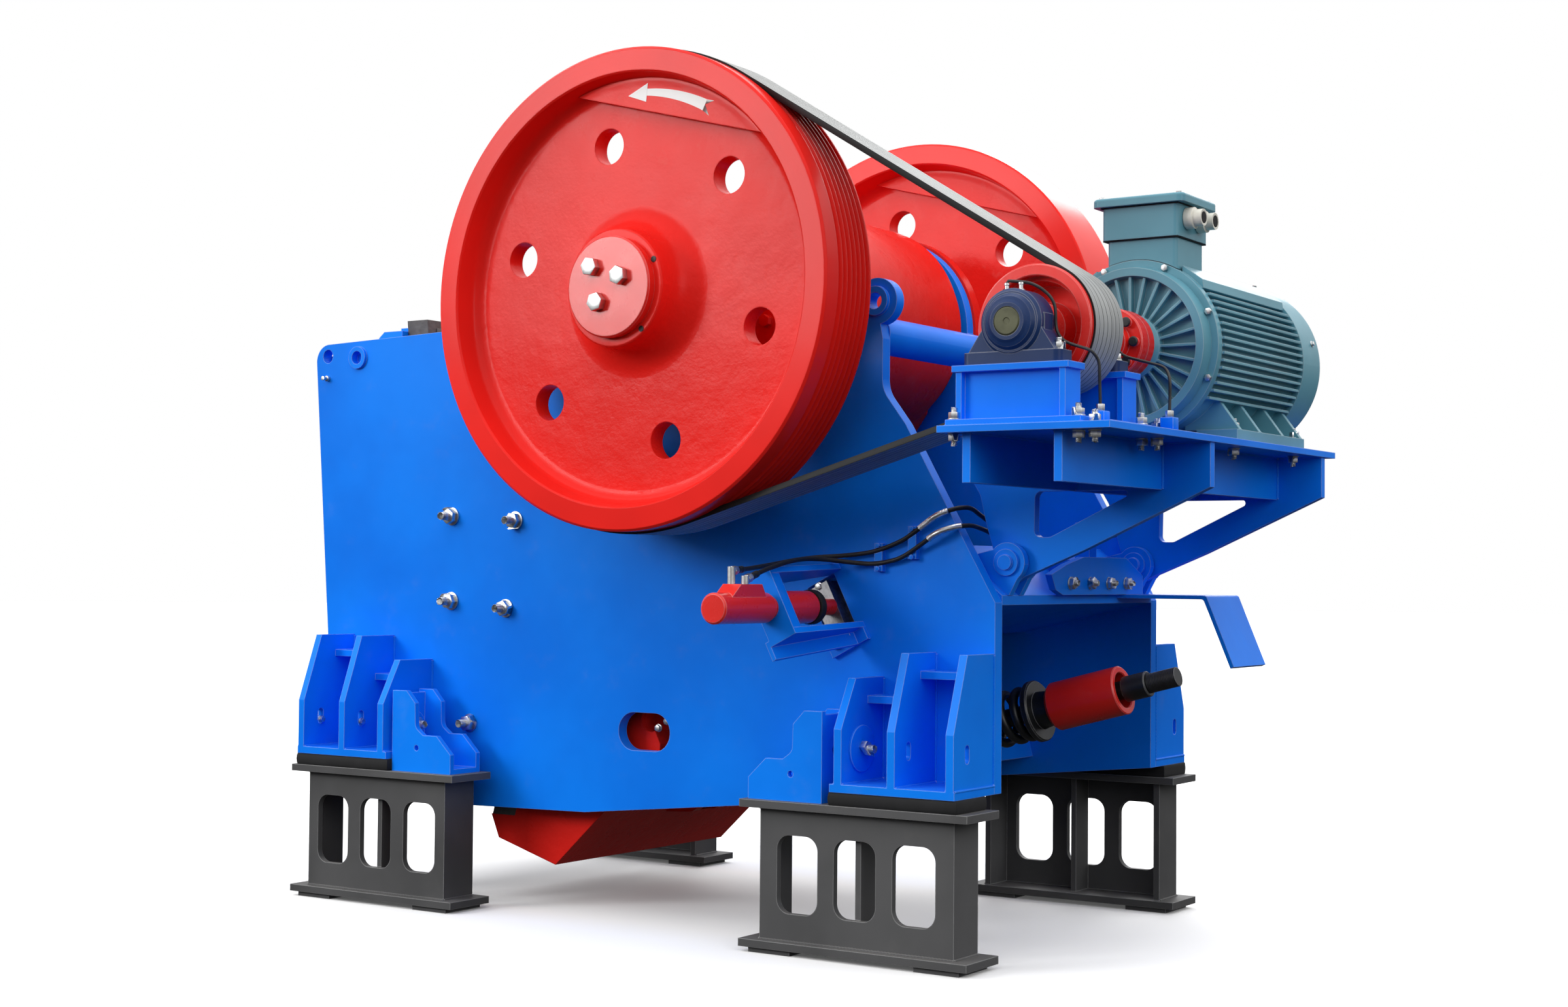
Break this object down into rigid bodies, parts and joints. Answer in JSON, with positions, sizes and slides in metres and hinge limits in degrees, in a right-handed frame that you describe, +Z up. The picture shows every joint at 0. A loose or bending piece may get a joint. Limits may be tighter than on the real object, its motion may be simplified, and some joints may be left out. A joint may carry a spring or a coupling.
{
  "type": "jaw crusher",
  "caption": "Single toggle jaw crusher on steel stands, with flywheels, belt drive from a motor deck behind, hydraulic wedge adjustment and a spring-held swing jaw.",
  "frame": {"origin": "on the ground, under the middle of the machine's box", "axes": "+X to the motor deck, +Y to the side without the belt, +Z up"},
  "size_m": [3.9324, 2.776, 3.1604],
  "materials": {
    "frame_blue": "gloss bright blue paint",
    "part_red": "gloss red paint",
    "stand_grey": "satin dark grey paint",
    "motor_teal": "satin teal paint",
    "bearing_blue": "satin dark blue paint",
    "black_paint": "satin black paint",
    "bare_steel": "turned steel",
    "wear_steel": "cast manganese steel",
    "black_rubber": "matt moulded rubber",
    "hose_rubber": "satin black hose",
    "belt_rubber": "matt grey belt"
  },
  "bodies": {
    "frame": {"near_side_plate": "frame_blue", "far_side_plate": "frame_blue", "front_wall": "frame_blue", "fixed_jaw_die": "wear_steel", "cheek_plates": "wear_steel", "jaw_clamp_block": "frame_blue", "rear_beam": "frame_blue", "rear_bracket": "frame_blue", "cross_tube": "frame_blue", "bearing_housings": "part_red", "front_feet": "frame_blue", "rear_feet": "frame_blue", "mount_pads": "black_rubber", "stop_brackets": "frame_blue", "front_stands": "stand_grey", "rear_stands": "stand_grey", "motor_deck": "frame_blue", "deck_beams": "frame_blue", "near_deck_arm": "frame_blue", "far_deck_arm": "frame_blue", "hinge_lugs": "frame_blue", "hinge_pins": "bare_steel", "bearing_pedestals": "frame_blue", "pillow_blocks": "bearing_blue", "motor_frame": "motor_teal", "motor_end_shield": "motor_teal", "fan_cowl": "motor_teal", "terminal_box": "motor_teal", "drive_belt": "belt_rubber", "wedge_brackets": "frame_blue", "wedge_cylinders": "part_red", "near_hoses": "hose_rubber", "far_hoses": "hose_rubber", "hose_clips": "frame_blue", "hose_fittings": "bare_steel", "hose_manifolds": "frame_blue", "near_wedge": "bare_steel", "far_wedge": "bare_steel", "toggle_seat": "bare_steel", "spring_seat_beam": "frame_blue", "tension_spring": "black_paint", "rear_guard": "frame_blue"},
    "rotor": {"main_shaft": "bare_steel", "near_flywheel": "part_red", "far_flywheel": "part_red", "shaft_caps": "part_red"},
    "layshaft": {"jackshaft": "bare_steel", "belt_pulley": "part_red", "shaft_coupling": "part_red"},
    "jaw": {"swing_jaw": "part_red", "swing_jaw_die": "wear_steel"},
    "toggle": {"toggle_plate": "part_red"},
    "pull_rod": {"tension_rod": "black_paint", "tension_sleeve": "part_red"}
  },
  "joints": [
    {"name": "main_shaft_turn", "type": "hinge", "parent": "frame", "child": "rotor", "pos_m": [0.02627, 0, 2.296], "axis": [0, 1, 0], "continuous": true},
    {"name": "layshaft_turn", "type": "hinge", "parent": "frame", "child": "layshaft", "pos_m": [1.60627, 0, 2.082], "axis": [0, 1, 0], "continuous": true},
    {"name": "jaw_swing", "type": "hinge", "parent": "frame", "child": "jaw", "pos_m": [0.02627, 0, 2.296], "axis": [0, 1, 0], "range_deg": [0, 0.9], "deforming": ["tension_spring"]},
    {"name": "toggle_rock", "type": "hinge", "parent": "frame", "child": "toggle", "pos_m": [0.49415, 0, 1.14051], "axis": [0, 1, 0], "range_deg": [0, 1.02]},
    {"name": "rod_pivot", "type": "hinge", "parent": "jaw", "child": "pull_rod", "pos_m": [-0.43198, 0, 0.41351], "axis": [0, 1, 0], "range_deg": [-0.1838, 0]}
  ],
  "couplings": [
    {"joint": "layshaft_turn", "follows": "main_shaft_turn", "ratio": 4.2929},
    {"joint": "toggle_rock", "follows": "jaw_swing", "ratio": 1.1244},
    {"joint": "rod_pivot", "follows": "jaw_swing", "ratio": -0.19309}
  ]
}
